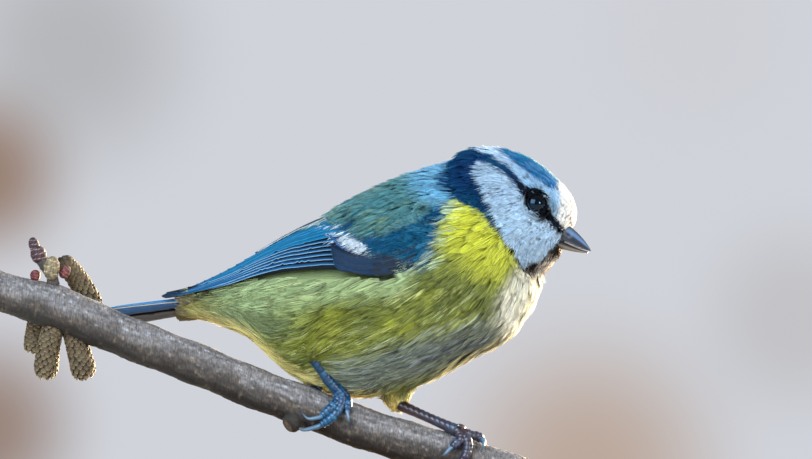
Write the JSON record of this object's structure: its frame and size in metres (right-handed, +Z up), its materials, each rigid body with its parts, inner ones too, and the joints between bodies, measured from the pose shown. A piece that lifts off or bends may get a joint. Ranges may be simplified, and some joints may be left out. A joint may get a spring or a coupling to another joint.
{
  "type": "bird model",
  "caption": "Life-size blue tit, head and breast low and tail out behind, gripping a sloping cut twig with catkins, held up by a small rod on a wooden base.",
  "frame": {"origin": "middle of the stand base's underside", "axes": "+Z up; +X along the base's long side, the way the twig runs down and the bird faces; +Y away from the side that the picture shows"},
  "size_m": [0.1312, 0.062, 0.0896],
  "materials": {
    "body_feathers": "soft matt barbed feathers, yellow below and olive green above",
    "neck_feathers": "soft matt dark blue feathers",
    "head_feathers": "short fine feathers, white with a blue cap and a dark line through the eye",
    "wing_feathers": "smooth blue vanes with pale edges and a white bar",
    "tail_feathers": "smooth blue vanes, grey-brown underneath",
    "bill": "horn, satin blue-black",
    "eye": "wet black gloss",
    "leg_scales": "scaly blue-grey skin with a dull sheen",
    "claw": "horn, satin grey-blue",
    "bark": "smooth grey-brown bark with pale pores",
    "catkin": "closed scaly catkins, brown and olive",
    "stand_wood": "dark oiled wood, satin",
    "stand_brass": "brushed brass"
  },
  "bodies": {
    "root": {"stand_base": "stand_wood", "stand_rod": "stand_brass", "perch_twig": "bark", "perch_spur": "bark", "perch_catkin_1": "catkin", "perch_catkin_2": "catkin", "perch_catkin_3": "catkin", "perch_catkin_4": "catkin", "thigh_right": "body_feathers", "shank_right": "leg_scales", "foot_right": "leg_scales", "claw_right_1": "claw", "claw_right_2": "claw", "claw_right_3": "claw", "claw_right_4": "claw", "thigh_left": "body_feathers", "shank_left": "leg_scales", "foot_left": "leg_scales", "claw_left_1": "claw", "claw_left_2": "claw", "claw_left_3": "claw", "claw_left_4": "claw", "torso": "body_feathers", "neck": "neck_feathers", "head": "head_feathers", "bill_upper": "bill", "bill_lower": "bill", "eye_left": "eye", "eye_right": "eye", "wing_left": "wing_feathers", "wing_right": "wing_feathers", "tail": "tail_feathers"}
  },
  "joints": []
}
